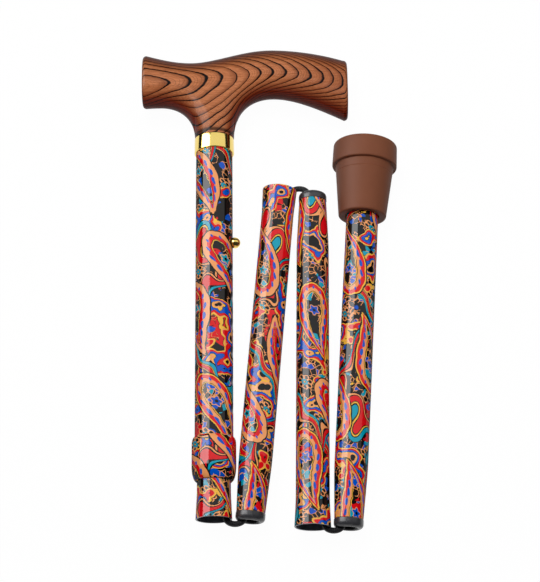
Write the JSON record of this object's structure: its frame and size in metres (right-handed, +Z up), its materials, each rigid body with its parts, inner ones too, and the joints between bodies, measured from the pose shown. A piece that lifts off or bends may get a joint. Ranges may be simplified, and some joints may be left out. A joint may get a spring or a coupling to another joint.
{
  "type": "folding cane",
  "caption": "Folding walking cane with a derby handle, a telescoping upper shaft with snap button and lock collar, corded tapered sections and a rubber tip, shown folded.",
  "frame": {"origin": "on the floor under the middle of the folded cane's box", "axes": "+Z up from the floor, +Y along the upper shaft towards the handle, +X towards the rubber tip's side"},
  "size_m": [0.155, 0.3041, 0.039],
  "materials": {
    "wood": "satin lacquered, dark growth rings",
    "gold_metal": "polished",
    "printed_tube": "gloss, printed all over with a paisley pattern on black",
    "black_plastic": "satin",
    "cord": "braided elastic",
    "brown_rubber": "matte",
    "steel": "plain",
    "alloy": "plain"
  },
  "bodies": {
    "handle": {"handle": "wood", "handle_spigot": "alloy", "handle_screw": "steel", "ferrule_ring": "gold_metal", "outer_tube": "printed_tube", "collet_bush": "black_plastic"},
    "lock_collar": {"lock_collar": "printed_tube"},
    "inner_tube": {"inner_tube": "printed_tube", "tube_glide": "black_plastic", "button_spring": "steel", "upper_cord_plug": "black_plastic", "upper_cord_crimp": "steel", "upper_cord": "cord"},
    "snap_button": {"snap_button": "gold_metal"},
    "fold_1": {"cord_bend_1": "cord"},
    "section_2": {"section_2_tube": "printed_tube", "section_2_cap": "black_plastic", "section_2_cord": "cord"},
    "fold_2": {"cord_bend_2": "cord"},
    "section_3": {"section_3_tube": "printed_tube", "section_3_cap": "black_plastic", "section_3_cord": "cord"},
    "fold_3": {"cord_bend_3": "cord"},
    "section_4": {"section_4_tube": "printed_tube", "section_4_cap": "black_plastic", "lower_cord": "cord", "lower_cord_plug": "black_plastic", "lower_cord_crimp": "steel", "tip_washer": "steel", "rubber_tip": "brown_rubber"}
  },
  "joints": [
    {"name": "collar_twist", "type": "hinge", "parent": "handle", "child": "lock_collar", "pos_m": [-0.03343, 0, 0.0195], "axis": [0, 1, 0], "range_deg": [0, 180]},
    {"name": "height", "type": "slide", "parent": "handle", "child": "inner_tube", "axis": [0, -1, 0], "range_m": [0, 0.102]},
    {"name": "button_press", "type": "slide", "parent": "inner_tube", "child": "snap_button", "axis": [-0.9848, 0, -0.1736], "range_m": [0, 0.0061], "stiffness_N_per_m": 400, "deforming": ["button_spring"]},
    {"name": "unfold_1", "type": "hinge", "parent": "inner_tube", "child": "fold_1", "pos_m": [-0.02339, -0.14195, 0.0195], "axis": [0, 0, -1], "range_deg": [0, 174.5], "deforming": ["cord_bend_1"]},
    {"name": "seat_1", "type": "slide", "parent": "fold_1", "child": "section_2", "axis": [-0.0958, -0.9954, 0], "range_m": [0, 0.0274]},
    {"name": "unfold_2", "type": "hinge", "parent": "section_2", "child": "fold_2", "pos_m": [0.01577, 0.05622, 0.0195], "axis": [0, 0, 1], "range_deg": [0, 175.7], "deforming": ["cord_bend_2"]},
    {"name": "seat_2", "type": "slide", "parent": "fold_2", "child": "section_3", "axis": [0.0209, 0.9998, 0], "range_m": [0, 0.0274]},
    {"name": "unfold_3", "type": "hinge", "parent": "section_3", "child": "fold_3", "pos_m": [0.03134, -0.14686, 0.0195], "axis": [0, 0, -1], "range_deg": [0, 177], "deforming": ["cord_bend_3"]},
    {"name": "seat_3", "type": "slide", "parent": "fold_3", "child": "section_4", "axis": [-0.0732, -0.9973, 0], "range_m": [0, 0.0274]}
  ],
  "couplings": [
    {"joint": "unfold_2", "follows": "unfold_1", "ratio": 1.0069},
    {"joint": "unfold_3", "follows": "unfold_1", "ratio": 1.0143},
    {"joint": "seat_2", "follows": "seat_1", "ratio": 1},
    {"joint": "seat_3", "follows": "seat_1", "ratio": 1}
  ]
}
